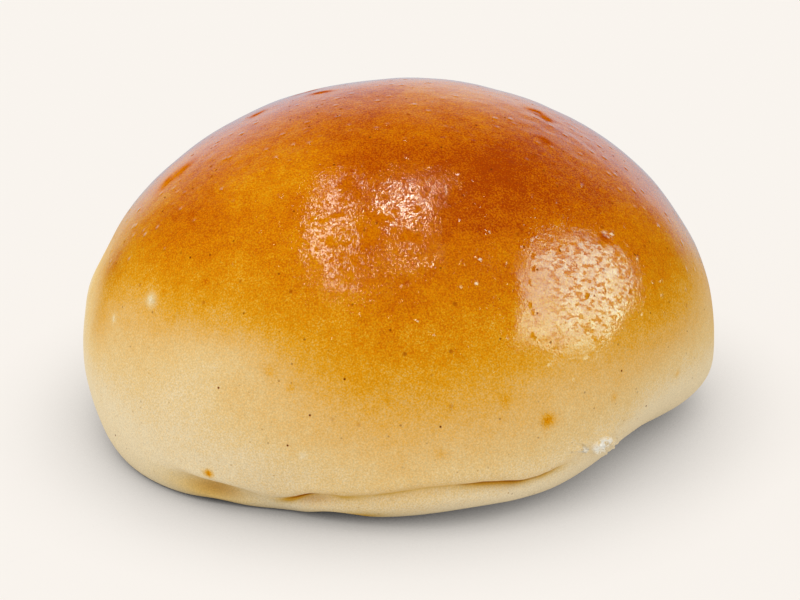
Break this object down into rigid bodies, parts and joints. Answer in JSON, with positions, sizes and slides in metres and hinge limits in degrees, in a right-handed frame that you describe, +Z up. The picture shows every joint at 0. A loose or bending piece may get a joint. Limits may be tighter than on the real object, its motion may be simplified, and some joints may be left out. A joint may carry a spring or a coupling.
{
  "type": "brioche bun",
  "caption": "Round, high-domed brioche bun with a glossy browned crust, pale matte sides, a fold round the front of its foot and a flat base to rest on.",
  "frame": {"origin": "centre of the bun's bounding box, on the surface that it rests on", "axes": "+Z up, +X along the bun's widest way, -Y towards the side with the fold"},
  "size_m": [0.1, 0.0922, 0.0516],
  "materials": {
    "crust": "egg-washed crust, deep orange brown and glossy on the crown, pale cream and matte towards the foot"
  },
  "bodies": {
    "root": {"bun": "crust"}
  },
  "joints": []
}
